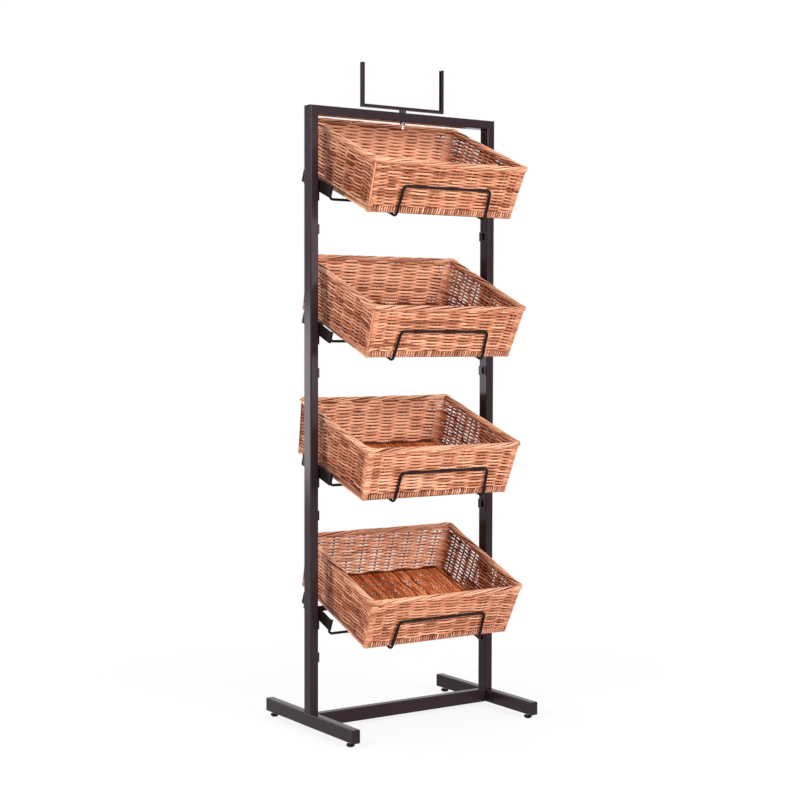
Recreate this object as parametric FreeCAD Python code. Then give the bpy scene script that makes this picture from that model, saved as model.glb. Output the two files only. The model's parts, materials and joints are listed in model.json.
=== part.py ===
import FreeCAD, Part
import math
import os

from FreeCAD import Placement, Rotation
from FreeCAD import Vector as V

# Bakery rack: a tube stand with four sloping wicker baskets and a sign holder.
# Millimetres. X runs across the rack, Y from front to back and Z up from the
# floor. X = 0 and Y = 0 lie in the middle of the two uprights.

# ---- tube stand ----
FRAME_WIDTH = 500.0          # over the outer faces of the uprights
FRAME_HEIGHT = 1380.0        # floor to the top of the top rail
FOOT_LENGTH = 375.0          # each foot, front to back, end plates included
TUBE_NARROW = 20.0
TUBE_WIDE = 30.0
TUBE_WALL = 1.5
TUBE_CORNER = 2.5            # outer corner radius of the tube
ROUND_SIDES = 24             # flats round the pads and the washer
END_PLATE = 1.5              # plate that closes each end of a foot
PLUG_DEPTH = 6.0             # how far an end plate's plug reaches into its tube
FIT_GAP = 0.15               # play of a plug in its tube

# ---- levelling feet ----
FLOOR_GAP = 10.0             # floor to the underside of the foot tubes
PAD_DIAMETER = 18.0
PAD_TREAD = 13.0             # diameter of the pad where it meets the floor
PAD_HEIGHT = 6.0
STUD_DIAMETER = 8.0
STUD_REACH = 22.0            # stud above the underside of the foot tube
NUT_SIDE = 14.0              # square weld nuts inside the foot tubes
WELD_NUT_HEIGHT = 6.5
THREAD_GAP = 0.3             # a plain running gap where the real thread is
FOOT_INSET = 22.0            # foot tube's end to the stud's axis

# ---- hook sockets on the uprights ----
SOCKET_TOP_DROP = 197.0      # top of the rack to the middle of the top socket
TIER_PITCH = 315.0
SPARE_DROP = 73.0            # each tier's spare socket hangs this far lower
SOCKET_HEIGHT = 21.6
SOCKET_SHEET = 1.2
SOCKET_BEVEL = 1.0
WINDOW_EDGE = 2.6            # metal left round the window in a socket's face
HOOK_GAP = 0.2               # play of a hook in its socket
SEAT_GAP = 0.3               # between pieces that lift off each other

# ---- basket holders ----
BRACKET_LENGTH = 126.0
BRACKET_HEIGHT = 26.0
BRACKET_SHEET = 2.0
BRACKET_BACK = 7.4           # bracket's middle behind the uprights' middle
BRACKET_RISE = 15.5          # bracket's lower edge above the socket's middle
FLANGE_WIDTH = 6.5
HOOK_TIP = 2.5               # socket's lower edge to the tip of the hook
JOGGLE_HEIGHT = 2.5
WIRE_DIAMETER = 6.0
WIRE_SIDES = 8
WIRE_BEND = 10.0             # bend radius at the middle of the wire
BEND_STEPS = 3               # straight steps round each bend
WIRE_WELD = 18.0             # wire end that runs up inside the bracket
LOOP_FOOT = 239.0            # width of the front loop under the basket
LOOP_HEAD = 230.0            # width of the front loop at its top
LOOP_HEIGHT = 66.0
STRAP_WIDTH = 20.0           # cross strap between the brackets
STRAP_SHEET = 2.0
STRAP_INSET = 8.0            # strap's edge to the back end of the brackets

# Each holder hangs in its own way. WIRE_SET is how far its wire sits to the
# right of the middle, REACH how far the wire runs forwards and LIFT how much
# higher than usual it is welded. BASKET_SET is the same for the basket on it.
TOP_ANGLE = 21.0
TOP_WIRE_SET = 6.5
TOP_BASKET_SET = 9.5
TOP_REACH = 164.5
TOP_LIFT = -1.5
SECOND_ANGLE = 21.7
SECOND_WIRE_SET = -6.5
SECOND_BASKET_SET = 0.0
SECOND_REACH = 170.8
SECOND_LIFT = 6.0
THIRD_ANGLE = 17.6
THIRD_WIRE_SET = -2.0
THIRD_BASKET_SET = -7.5
THIRD_REACH = 168.5
THIRD_LIFT = 1.5
BOTTOM_ANGLE = 21.2
BOTTOM_WIRE_SET = 9.0
BOTTOM_BASKET_SET = 15.0
BOTTOM_REACH = 147.5
BOTTOM_LIFT = -8.5
TIERS = (
    (TOP_ANGLE, TOP_WIRE_SET, TOP_BASKET_SET, TOP_REACH, TOP_LIFT),
    (SECOND_ANGLE, SECOND_WIRE_SET, SECOND_BASKET_SET, SECOND_REACH, SECOND_LIFT),
    (THIRD_ANGLE, THIRD_WIRE_SET, THIRD_BASKET_SET, THIRD_REACH, THIRD_LIFT),
    (BOTTOM_ANGLE, BOTTOM_WIRE_SET, BOTTOM_BASKET_SET, BOTTOM_REACH, BOTTOM_LIFT),
)

# ---- wicker baskets ----
BASKET_SIDE_GAP = 29.1       # bracket to basket, before the sideways set
BASKET_DEPTH = 297.5         # front to back along the bottom
FRONT_HEIGHT = 124.0
BACK_HEIGHT = 130.0
SIDE_FLARE = 9.0             # how far each side leans out at the wall's top
FRONT_FLARE = 5.5
BACK_FLARE = 8.0
BASKET_CORNER = 11.0         # plan radius at the corners
CORNER_STEPS = 2             # flat facets round each corner
EDGE_STEPS = 3               # flat facets round the bottom edge
WALL_THICKNESS = 9.0
COURSES = 13                 # ridges up the wall, each two rows of cane
COURSE_DEPTH = 3.0           # how deep the hollows lie between the ridges
BORDER_HEIGHT = 18.0         # foot border round the bottom
BORDER_THICKNESS = 9.0
FLOOR_THICKNESS = 6.0
FLOOR_RISE = 10.0            # floor's underside above the border's
FLOOR_PLAY = 0.1             # floor panel's edge to the border round it
RIM_WIDTH = 12.0
RIM_HEIGHT = 11.0
RIM_OVERHANG = 2.5           # rim beyond the outside of the wall
RIM_ROUNDING = 3.0

# ---- sign holder ----
SIGN_WIDTH = 222.0           # over the posts
SIGN_HEIGHT = 99.0           # underside of the channel to the posts' tops
CHANNEL_WIDTH = 9.0          # front to back
CHANNEL_LEG = 7.0
CHANNEL_SHEET = 1.2
SPACER_HEIGHT = 7.0
SPACER_DIAMETER = 16.0
SIGN_STUD_DIAMETER = 6.0
STUD_TAIL = 9.0             # stud below the nut
NUT_ACROSS_FLATS = 10.0
NUT_HEIGHT = 5.0
WASHER_DIAMETER = 12.0
WASHER_THICKNESS = 1.2

# ---- places worked out from the sizes above ----
OUTER_FACE = FRAME_WIDTH / 2
INNER_FACE = OUTER_FACE - TUBE_NARROW
FOOT_TOP = FLOOR_GAP + TUBE_WIDE
RAIL_UNDERSIDE = FRAME_HEIGHT - TUBE_NARROW
SOCKET_DEPTH = TUBE_WIDE - 2 * TUBE_CORNER
SOCKET_STAND_OFF = BRACKET_SHEET + 2 * HOOK_GAP + SOCKET_SHEET
BRACKET_FACE = INNER_FACE - SOCKET_STAND_OFF - SEAT_GAP
BRACKET_INSIDE = BRACKET_FACE - BRACKET_SHEET
BASKET_WIDTH = 2 * (BRACKET_INSIDE - BASKET_SIDE_GAP)
WIRE_RADIUS = WIRE_DIAMETER / 2
WIRE_DROP = WIRE_RADIUS + SEAT_GAP
EDGE_ROUND = WIRE_BEND - WIRE_RADIUS - SEAT_GAP
SIGN_BASE = FRAME_HEIGHT + SPACER_HEIGHT + SEAT_GAP

SIDES = {"left": -1, "right": 1}


def save(node, *solids):
    """Write one node's STEP file from its solids."""
    shape = solids[0] if len(solids) == 1 else Part.makeCompound(list(solids))
    shape.exportStep(f"parts/{node}.step")


def moved(shape, place):
    """A copy of the shape, set in place."""
    copy = shape.copy()
    copy.Placement = place.multiply(copy.Placement)
    return copy


def mirrored(shape, side):
    """The shape as modelled for the right side, or its mirror for the left."""
    if side > 0:
        return shape
    return shape.mirror(V(0, 0, 0), V(1, 0, 0))


def upright_edges(solid):
    """The straight edges that run along Z."""
    return [
        edge
        for edge in solid.Edges
        if abs(edge.tangentAt(edge.FirstParameter).z) > 0.999
    ]


def block(width, depth, height, corner):
    """A block on z = 0, centred on the Z axis, its upright edges rounded."""
    box = Part.makeBox(width, depth, height, V(-width / 2, -depth / 2, 0))
    return box.makeFillet(corner, upright_edges(box)) if corner > 0 else box


def tube(length):
    """A length of the stand's tube along Z, narrow across X."""
    outside = block(TUBE_NARROW, TUBE_WIDE, length, TUBE_CORNER)
    inside = block(
        TUBE_NARROW - 2 * TUBE_WALL,
        TUBE_WIDE - 2 * TUBE_WALL,
        length,
        0,
    )
    return outside.cut(inside)


def ring(outer, inner, height, base):
    """A round ring standing on the point `base`."""
    body = Part.makeCylinder(outer, height, base)
    return body.cut(Part.makeCylinder(inner, height, base))


def plate(points, thickness_along):
    """A flat outline pushed along a vector."""
    outline = Part.makePolygon(list(points) + [points[0]])
    return Part.Face(outline).extrude(thickness_along)


def bent_sheet(points, thickness, along, rounded=True):
    """Sheet metal bent round `points`, which lie on the inside of the bends."""
    join = 0 if rounded else 2
    profile = Part.makePolygon(points).makeOffset2D(-thickness, join, True, True)
    return profile.extrude(along)


def many_sided(sides, across_flats, height):
    """A closed outline of equal sides round the Z axis, at a height."""
    corner_radius = across_flats / 2 / math.cos(math.pi / sides)
    corners = []
    for step in range(sides + 1):
        angle = 2 * math.pi * (step + 0.5) / sides
        across = V(math.cos(angle), math.sin(angle), 0) * corner_radius
        corners.append(V(across.x, across.y, height))
    return Part.makePolygon(corners)


def bend_points(before, corner, after):
    """Points round the arc of WIRE_BEND that replaces a corner."""
    back = before.sub(corner).normalize()
    ahead = after.sub(corner).normalize()
    turn = math.pi - back.getAngle(ahead)
    centre_way = (back + ahead).normalize()
    centre = corner + centre_way * (WIRE_BEND / math.cos(turn / 2))
    sideways = (ahead - back).normalize()
    points = []
    for step in range(BEND_STEPS + 1):
        angle = turn * (step / BEND_STEPS - 0.5)
        spoke = sideways * math.sin(angle) - centre_way * math.cos(angle)
        points.append(centre + spoke * WIRE_BEND)
    return points


def bent_wire(points):
    """Wire of WIRE_SIDES flats along `points`, bent at each of them."""
    path = [points[0]]
    for before, corner, after in zip(points, points[1:], points[2:]):
        path += bend_points(before, corner, after)
    path.append(points[-1])
    turn = Rotation(V(0, 0, 1), points[1].sub(points[0]))
    section = many_sided(WIRE_SIDES, WIRE_DIAMETER, 0)
    placed = moved(section, Placement(points[0], turn))
    return Part.makePolygon(path).makePipeShell([placed], True, False, 1)


# ---- the stand ----


def mitre_cut(points):
    """A prism through the whole depth of the stand over an X-Z outline."""
    return plate([V(x, -TUBE_WIDE, z) for x, z in points], V(0, 2 * TUBE_WIDE, 0))


def upright():
    """The right upright, its top mitred into the top rail."""
    bar = tube(FRAME_HEIGHT - FOOT_TOP)
    middle = V(OUTER_FACE - TUBE_NARROW / 2, 0, FOOT_TOP)
    outline = [
        (INNER_FACE, FOOT_TOP),
        (OUTER_FACE, FOOT_TOP),
        (OUTER_FACE, FRAME_HEIGHT),
        (INNER_FACE, RAIL_UNDERSIDE),
    ]
    return moved(bar, Placement(middle, Rotation())).common(mitre_cut(outline))


def top_rail():
    """The top rail, mitred at both ends, with the spacer its sign stands on."""
    turn = Rotation(V(0, 1, 0), 90)
    start = V(-OUTER_FACE, 0, FRAME_HEIGHT - TUBE_NARROW / 2)
    bar = moved(tube(FRAME_WIDTH), Placement(start, turn))
    outline = [
        (-OUTER_FACE, FRAME_HEIGHT),
        (OUTER_FACE, FRAME_HEIGHT),
        (INNER_FACE, RAIL_UNDERSIDE),
        (-INNER_FACE, RAIL_UNDERSIDE),
    ]
    hole = Part.makeCylinder(
        SIGN_STUD_DIAMETER / 2 + THREAD_GAP, TUBE_NARROW, V(0, 0, RAIL_UNDERSIDE)
    )
    rail = bar.common(mitre_cut(outline)).cut(hole)
    spacer = ring(
        SPACER_DIAMETER / 2,
        SIGN_STUD_DIAMETER / 2 + THREAD_GAP,
        SPACER_HEIGHT,
        V(0, 0, FRAME_HEIGHT),
    )
    return rail.fuse(spacer)


def stud_places():
    """Front-to-back places of a foot's two levelling studs, by name."""
    reach = FOOT_LENGTH / 2 - FOOT_INSET
    return {"front": -reach, "back": reach}


def foot_tube(side):
    """A foot without its end plates, its underside drilled for the studs."""
    middle = side * (OUTER_FACE - TUBE_NARROW / 2)
    length = FOOT_LENGTH - 2 * END_PLATE
    start = V(middle, length / 2, FLOOR_GAP + TUBE_WIDE / 2)
    bar = moved(tube(length), Placement(start, Rotation(V(1, 0, 0), 90)))
    for y in stud_places().values():
        bore = STUD_DIAMETER / 2 + THREAD_GAP
        hole = Part.makeCylinder(bore, TUBE_WALL, V(middle, y, FLOOR_GAP))
        bar = bar.cut(hole)
    return bar


def end_plate(side, end):
    """The plate that closes one end of a foot, with its plug inside."""
    middle = side * (OUTER_FACE - TUBE_NARROW / 2)
    face = block(TUBE_NARROW, TUBE_WIDE, END_PLATE, TUBE_CORNER)
    loss = 2 * (TUBE_WALL + FIT_GAP)
    plug = block(
        TUBE_NARROW - loss,
        TUBE_WIDE - loss,
        END_PLATE + PLUG_DEPTH,
        0,
    )
    inward = Rotation(V(1, 0, 0), 90 * end)
    start = V(middle, end * FOOT_LENGTH / 2, FLOOR_GAP + TUBE_WIDE / 2)
    return moved(face.fuse(plug).removeSplitter(), Placement(start, inward))


def cross_rail():
    """The rail between the feet, flush with the uprights' front faces."""
    length = 2 * INNER_FACE
    along_x = Rotation(V(1, 1, 1), 120)
    front = (TUBE_NARROW - TUBE_WIDE) / 2
    start = V(-INNER_FACE, front, FLOOR_GAP + TUBE_WIDE / 2)
    return moved(tube(length), Placement(start, along_x))


def weld_nut(x, y):
    """The square nut inside a foot that takes a levelling stud."""
    base = FLOOR_GAP + TUBE_WALL
    nut = Part.makeBox(
        NUT_SIDE, NUT_SIDE, WELD_NUT_HEIGHT, V(x - NUT_SIDE / 2, y - NUT_SIDE / 2, base)
    )
    bore = STUD_DIAMETER / 2 + THREAD_GAP
    return nut.cut(Part.makeCylinder(bore, WELD_NUT_HEIGHT, V(x, y, base)))


def levelling_stud(x, y):
    """Plain stud from the top of the pad up through the weld nut."""
    length = FLOOR_GAP - PAD_HEIGHT + STUD_REACH
    return Part.makeCylinder(STUD_DIAMETER / 2, length, V(x, y, PAD_HEIGHT))


def levelling_pad(x, y):
    """Moulded pad, its lower edge chamfered down to the tread."""
    outline = Part.Face(many_sided(ROUND_SIDES, PAD_DIAMETER, 0))
    pad = outline.extrude(V(0, 0, PAD_HEIGHT))
    tread = min(pad.Faces, key=lambda face: face.CenterOfMass.z)
    pad = pad.makeChamfer((PAD_DIAMETER - PAD_TREAD) / 2, tread.Edges)
    return moved(pad, Placement(V(x, y, 0), Rotation()))


def hook_socket(z):
    """A bent strap on the right upright that makes an upright pocket."""
    half = SOCKET_DEPTH / 2
    face = INNER_FACE - SOCKET_STAND_OFF
    bottom = z - SOCKET_HEIGHT / 2
    top = z + SOCKET_HEIGHT / 2
    bend = [
        V(INNER_FACE, SOCKET_SHEET - half, bottom),
        V(face + SOCKET_SHEET, SOCKET_SHEET - half, bottom),
        V(face + SOCKET_SHEET, half - SOCKET_SHEET, bottom),
        V(INNER_FACE, half - SOCKET_SHEET, bottom),
    ]
    strap = bent_sheet(bend, SOCKET_SHEET, V(0, 0, SOCKET_HEIGHT), rounded=False)
    bevelled = plate(
        [
            V(INNER_FACE, -half, bottom),
            V(face + SOCKET_BEVEL, -half, bottom),
            V(face, -half, bottom + SOCKET_BEVEL),
            V(face, -half, top - SOCKET_BEVEL),
            V(face + SOCKET_BEVEL, -half, top),
            V(INNER_FACE, -half, top),
        ],
        V(0, SOCKET_DEPTH, 0),
    )
    window = Part.makeBox(
        SOCKET_SHEET,
        half - WINDOW_EDGE,
        SOCKET_HEIGHT - 2 * WINDOW_EDGE,
        V(face, WINDOW_EDGE - half, bottom + WINDOW_EDGE),
    )
    return strap.common(bevelled).cut(window)


def socket_height(tier):
    """Height of the middle of the socket that carries a tier's holder."""
    return FRAME_HEIGHT - SOCKET_TOP_DROP - TIER_PITCH * tier


def build_stand():
    """Everything that is welded or pressed into the stand."""
    for name, side in SIDES.items():
        middle = side * (OUTER_FACE - TUBE_NARROW / 2)
        save(f"{name}_upright", mirrored(upright(), side))
        save(f"{name}_foot_tube", foot_tube(side))
        heights = [
            socket_height(tier) - drop
            for tier in range(len(TIERS))
            for drop in (0, SPARE_DROP)
        ]
        sockets = [mirrored(hook_socket(z), side) for z in heights]
        save(f"{name}_hook_sockets", *sockets)
        for end, y in stud_places().items():
            save(f"{name}_{end}_levelling_pad", levelling_pad(middle, y))
            save(f"{name}_{end}_levelling_stud", levelling_stud(middle, y))
    save("top_rail", top_rail())
    save("cross_rail", cross_rail())
    plates = [end_plate(side, end) for side in (-1, 1) for end in (-1, 1)]
    save("foot_end_plates", *plates)
    nuts = [
        weld_nut(side * (OUTER_FACE - TUBE_NARROW / 2), y)
        for side in (-1, 1)
        for y in stud_places().values()
    ]
    save("weld_nuts", *nuts)


# ---- basket holders, in their own sloping frame ----
# x across the rack, u backwards up the slope and v square to the slope. The
# frame's origin is the middle of the brackets' lower edges.


def slope_place(tier, across=0.0, lift=0.0):
    """Where a tier's sloping frame stands, or one that is shifted in it."""
    height = socket_height(tier) + BRACKET_RISE
    slope = Rotation(V(1, 0, 0), TIERS[tier][0])
    return Placement(V(0, BRACKET_BACK, height) + slope.multVec(V(across, 0, lift)), slope)


def hook(tier):
    """The joggled tongue that drops from a bracket into its socket."""
    socket_top = socket_height(tier) + SOCKET_HEIGHT / 2
    tip = socket_top - SOCKET_HEIGHT + HOOK_TIP
    land_top = socket_height(tier) + BRACKET_RISE + BRACKET_HEIGHT / 2
    pocket_side = INNER_FACE - HOOK_GAP - BRACKET_SHEET
    width = SOCKET_DEPTH - 2 * (SOCKET_SHEET + HOOK_GAP)
    bend = [
        V(pocket_side, -width / 2, tip),
        V(pocket_side, -width / 2, socket_top + SEAT_GAP),
        V(BRACKET_FACE, -width / 2, socket_top + SEAT_GAP + JOGGLE_HEIGHT),
        V(BRACKET_FACE, -width / 2, land_top),
    ]
    return bent_sheet(bend, BRACKET_SHEET, V(0, width, 0))


def bracket(tier):
    """Right bracket: a side plate, its turned-in front flange and its hook."""
    front = -BRACKET_LENGTH / 2
    bend = [
        V(BRACKET_INSIDE, -front, 0),
        V(BRACKET_INSIDE, front + BRACKET_SHEET, 0),
        V(BRACKET_FACE - FLANGE_WIDTH, front + BRACKET_SHEET, 0),
    ]
    angle = bent_sheet(bend, BRACKET_SHEET, V(0, 0, BRACKET_HEIGHT))
    return moved(angle, slope_place(tier)).fuse(hook(tier)).removeSplitter()


def cradle(tier):
    """One bent wire: under the basket from each bracket, then the front loop."""
    wire_set, _, reach, lift = TIERS[tier][1:]
    side = BRACKET_INSIDE - WIRE_RADIUS
    start = -BRACKET_LENGTH / 2 + BRACKET_SHEET + WIRE_RADIUS
    lean = LOOP_HEIGHT * FRONT_FLARE / (FRONT_HEIGHT - RIM_HEIGHT)
    half = [
        V(side, start, WIRE_WELD),
        V(side, start, -WIRE_DROP),
        V(LOOP_FOOT / 2, start, -WIRE_DROP),
        V(LOOP_FOOT / 2, -reach, -WIRE_DROP),
        V(LOOP_HEAD / 2, -reach - lean, LOOP_HEIGHT),
    ]
    inner = [V(p.x + wire_set, p.y, p.z) for p in half[2:]]
    other = [V(wire_set - p.x, p.y, p.z) for p in half[2:]]
    outer = [V(-p.x, p.y, p.z) for p in half[:2]]
    route = half[:2] + inner + other[::-1] + outer[::-1]
    return moved(bent_wire(route), slope_place(tier, lift=lift))


def strap(tier):
    """Cross strap that ties the brackets and carries the basket's back."""
    level = TIERS[tier][4] - SEAT_GAP - STRAP_SHEET
    back = BRACKET_LENGTH / 2 - STRAP_INSET
    bend = [
        V(-BRACKET_INSIDE + STRAP_SHEET, back, BRACKET_HEIGHT),
        V(-BRACKET_INSIDE + STRAP_SHEET, back, level + STRAP_SHEET),
        V(BRACKET_INSIDE - STRAP_SHEET, back, level + STRAP_SHEET),
        V(BRACKET_INSIDE - STRAP_SHEET, back, BRACKET_HEIGHT),
    ]
    bar = bent_sheet(bend, STRAP_SHEET, V(0, -STRAP_WIDTH, 0))
    return moved(bar, slope_place(tier))


def build_holder(tier):
    """The brackets, wire and strap that carry one basket."""
    number = tier + 1
    for name, side in SIDES.items():
        save(f"tier_{number}_{name}_bracket", mirrored(bracket(tier), side))
    save(f"tier_{number}_wire_cradle", cradle(tier))
    save(f"tier_{number}_cross_strap", strap(tier))


# ---- wicker baskets, in the same sloping frame ----


def basket_outline(tier, height, inset):
    """Corners of the basket's outline at a height, moved in by `inset`."""
    reach = TIERS[tier][3]
    share = height / (FRONT_HEIGHT - RIM_HEIGHT)
    front = WIRE_DROP - reach - FRONT_FLARE * share + inset
    back = WIRE_DROP - reach + BASKET_DEPTH + BACK_FLARE * share - inset
    half = BASKET_WIDTH / 2 + SIDE_FLARE * share - inset
    radius = max(BASKET_CORNER - inset, BASKET_CORNER / 4)
    rise = (BACK_HEIGHT - FRONT_HEIGHT) * share / BASKET_DEPTH
    centres = (
        (half - radius, back - radius),
        (radius - half, back - radius),
        (radius - half, front + radius),
        (half - radius, front + radius),
    )
    points = []
    for quarter, (centre_x, centre_y) in enumerate(centres):
        for step in range(CORNER_STEPS + 1):
            turn = math.pi / 2 * (quarter + step / CORNER_STEPS)
            x = centre_x + radius * math.cos(turn)
            y = centre_y + radius * math.sin(turn)
            points.append(V(x, y, height + rise * (y + reach)))
    return points


def basket_band(tier, section):
    """A closed band round the basket, from its section's (height, inset) corners."""
    rings = [basket_outline(tier, height, inset) for height, inset in section]
    facets = []
    for lower, upper in zip(rings, rings[1:] + rings[:1]):
        for step, (low, high) in enumerate(zip(lower, upper)):
            low_before, high_before = lower[step - 1], upper[step - 1]
            facets.append(Part.makePolygon([low_before, low, high, low_before]))
            facets.append(Part.makePolygon([low_before, high, high_before, low_before]))
    shell = Part.Shell([Part.Face(facet) for facet in facets])
    shell.sewShape()
    band = Part.Solid(shell)
    return band if band.Volume > 0 else band.reversed()


def basket_wall(tier):
    """The four leaning sides, ridged outside like the courses of the weave."""
    top = FRONT_HEIGHT - RIM_HEIGHT
    course = (top - BORDER_HEIGHT) / COURSES
    outside = []
    for number in range(COURSES):
        base = BORDER_HEIGHT + course * number
        outside += [(base, COURSE_DEPTH), (base + course / 2, 0)]
    outside.append((top, COURSE_DEPTH))
    inside = [(top, WALL_THICKNESS), (BORDER_HEIGHT, WALL_THICKNESS)]
    return basket_band(tier, outside + inside)


def foot_border(tier):
    """The wrapped border round the bottom, its lower outer edge rounded."""
    edge = []
    for step in range(EDGE_STEPS + 1):
        turn = math.pi / 2 * step / EDGE_STEPS
        height = EDGE_ROUND * (1 - math.cos(turn))
        edge.append((height, EDGE_ROUND * (1 - math.sin(turn))))
    inside = [(BORDER_HEIGHT, BORDER_THICKNESS), (0, BORDER_THICKNESS)]
    return basket_band(tier, edge + [(BORDER_HEIGHT, 0)] + inside)


def basket_floor(tier):
    """The floor panel, let in between the sides of the foot border."""
    outlines = []
    for height in (FLOOR_RISE, FLOOR_RISE + FLOOR_THICKNESS):
        points = basket_outline(tier, height, BORDER_THICKNESS + FLOOR_PLAY)
        outlines.append(Part.makePolygon(points + [points[0]]))
    return Part.makeLoft(outlines, True, True)


def basket_rim(tier):
    """The rolled rim: a band with rounded edges on top of the wall."""
    base = FRONT_HEIGHT - RIM_HEIGHT
    rounding = [
        (base, RIM_ROUNDING),
        (base + RIM_ROUNDING, 0),
        (FRONT_HEIGHT - RIM_ROUNDING, 0),
        (FRONT_HEIGHT, RIM_ROUNDING),
    ]
    outside = [(height, cut - RIM_OVERHANG) for height, cut in rounding]
    inner_face = RIM_WIDTH - RIM_OVERHANG
    inside = [(height, inner_face - cut) for height, cut in reversed(rounding)]
    return basket_band(tier, outside + inside)


def build_basket(tier):
    """One basket, its rim, wall, border and floor in separate nodes."""
    number = tier + 1
    _, _, basket_set, _, lift = TIERS[tier]
    place = slope_place(tier, basket_set, lift)
    save(f"basket_{number}_wall", moved(basket_wall(tier), place))
    save(f"basket_{number}_rim", moved(basket_rim(tier), place))
    save(f"basket_{number}_foot_border", moved(foot_border(tier), place))
    save(f"basket_{number}_floor", moved(basket_floor(tier), place))


# ---- sign holder ----


def sign_post():
    """The right post: a channel open inwards, mitred to the base."""
    half = SIGN_WIDTH / 2
    inside = CHANNEL_WIDTH / 2 - CHANNEL_SHEET
    bend = [
        V(half - CHANNEL_LEG, inside, SIGN_BASE),
        V(half - CHANNEL_SHEET, inside, SIGN_BASE),
        V(half - CHANNEL_SHEET, -inside, SIGN_BASE),
        V(half - CHANNEL_LEG, -inside, SIGN_BASE),
    ]
    channel = bent_sheet(bend, CHANNEL_SHEET, V(0, 0, SIGN_HEIGHT), rounded=False)
    outline = [
        (half, SIGN_BASE),
        (half, SIGN_BASE + SIGN_HEIGHT),
        (half - CHANNEL_LEG, SIGN_BASE + SIGN_HEIGHT),
        (half - CHANNEL_LEG, SIGN_BASE + CHANNEL_LEG),
    ]
    return channel.common(mitre_cut(outline))


def sign_base():
    """The base channel, open upwards, with the hole its stud stands in."""
    half = SIGN_WIDTH / 2
    inside = CHANNEL_WIDTH / 2 - CHANNEL_SHEET
    bend = [
        V(-half, inside, SIGN_BASE + CHANNEL_LEG),
        V(-half, inside, SIGN_BASE + CHANNEL_SHEET),
        V(-half, -inside, SIGN_BASE + CHANNEL_SHEET),
        V(-half, -inside, SIGN_BASE + CHANNEL_LEG),
    ]
    channel = bent_sheet(bend, CHANNEL_SHEET, V(SIGN_WIDTH, 0, 0), rounded=False)
    outline = [
        (-half, SIGN_BASE),
        (half, SIGN_BASE),
        (half - CHANNEL_LEG, SIGN_BASE + CHANNEL_LEG),
        (-half + CHANNEL_LEG, SIGN_BASE + CHANNEL_LEG),
    ]
    return channel.common(mitre_cut(outline))


def drilled_prism(sides, across_flats, base, height):
    """A nut or washer of flat sides, on `base`, drilled for the sign's stud."""
    outline = Part.Face(many_sided(sides, across_flats, base))
    hole = Part.makeCylinder(SIGN_STUD_DIAMETER / 2, height, V(0, 0, base))
    return outline.extrude(V(0, 0, height)).cut(hole)


def build_sign_holder():
    """The card holder with the stud, washer and nut that fasten it."""
    shank = SIGN_STUD_DIAMETER / 2
    washer_base = RAIL_UNDERSIDE - SEAT_GAP - WASHER_THICKNESS
    nut_base = washer_base - NUT_HEIGHT
    tail = nut_base - STUD_TAIL
    for name, side in SIDES.items():
        save(f"sign_{name}_post", mirrored(sign_post(), side))
    save("sign_base_channel", sign_base())
    save("sign_stud", Part.makeCylinder(shank, SIGN_BASE - tail, V(0, 0, tail)))
    washer = drilled_prism(ROUND_SIDES, WASHER_DIAMETER, washer_base, WASHER_THICKNESS)
    save("sign_washer", washer)
    save("sign_nut", drilled_prism(6, NUT_ACROSS_FLATS, nut_base, NUT_HEIGHT))


os.makedirs("parts", exist_ok=True)
build_stand()
for tier_index in range(len(TIERS)):
    build_holder(tier_index)
    build_basket(tier_index)
build_sign_holder()
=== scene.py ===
import json
import math
from collections import namedtuple

import bpy
import numpy as np
from mathutils import Matrix, Vector


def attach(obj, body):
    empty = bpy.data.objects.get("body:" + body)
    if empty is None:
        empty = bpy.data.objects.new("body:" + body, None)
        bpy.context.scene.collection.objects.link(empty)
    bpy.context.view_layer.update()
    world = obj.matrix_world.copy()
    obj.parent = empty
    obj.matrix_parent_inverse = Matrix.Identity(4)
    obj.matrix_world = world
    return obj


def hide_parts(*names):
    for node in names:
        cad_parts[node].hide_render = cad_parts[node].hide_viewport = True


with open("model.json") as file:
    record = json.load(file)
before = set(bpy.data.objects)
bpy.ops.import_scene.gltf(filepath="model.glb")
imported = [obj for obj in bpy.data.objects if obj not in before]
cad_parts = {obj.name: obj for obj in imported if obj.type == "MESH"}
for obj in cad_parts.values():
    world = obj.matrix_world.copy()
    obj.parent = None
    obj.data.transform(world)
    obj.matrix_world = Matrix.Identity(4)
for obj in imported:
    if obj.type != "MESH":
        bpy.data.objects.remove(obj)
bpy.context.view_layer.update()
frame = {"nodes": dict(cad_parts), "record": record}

# ---- sizes, in millimetres ----

# Each tier has a sloping frame of its own: x across the rack, u backwards up the
# slope and v square to the slope. A tier is its slope in degrees, the set to the
# right of its wire and of its basket, how far the wire reaches forwards and how far
# both are lifted.
Tier = namedtuple("Tier", "slope wire_set basket_set reach lift")
TIERS = (
    Tier(21.0, 6.5, 9.5, 164.5, -1.5),
    Tier(21.7, -6.5, 0.0, 170.8, 6.0),
    Tier(17.6, -2.0, -7.5, 168.5, 1.5),
    Tier(21.2, 9.0, 15.0, 147.5, -8.5),
)
TIER_TOP, TIER_PITCH, TIER_BACK = 1198.5, 315.0, 7.4

WIDTH, DEPTH = 390.0, 297.5             # a basket over its foot
SIDE_FLARE, FRONT_FLARE, BACK_FLARE = 9.0, 5.5, 8.0
WALL_TOP = 113.0                        # the height at which the flares are given
RISE = 6.0                              # how much taller the back wall is
CORNER_RADIUS, LEAST_RADIUS = 11.0, 4.0

WIRE_HALF = 3.0
WIRE_DROP = 3.3                         # from the basket's seat to the wire's middle
WIRE_BEND = 10.0
WIRE_LEG, WIRE_LEG_TOP, WIRE_BACK = 221.1, 18.0, -58.0
LOOP_HALF, LOOP_TOP_HALF, LOOP_TOP = 119.5, 115.0, 66.0

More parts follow.
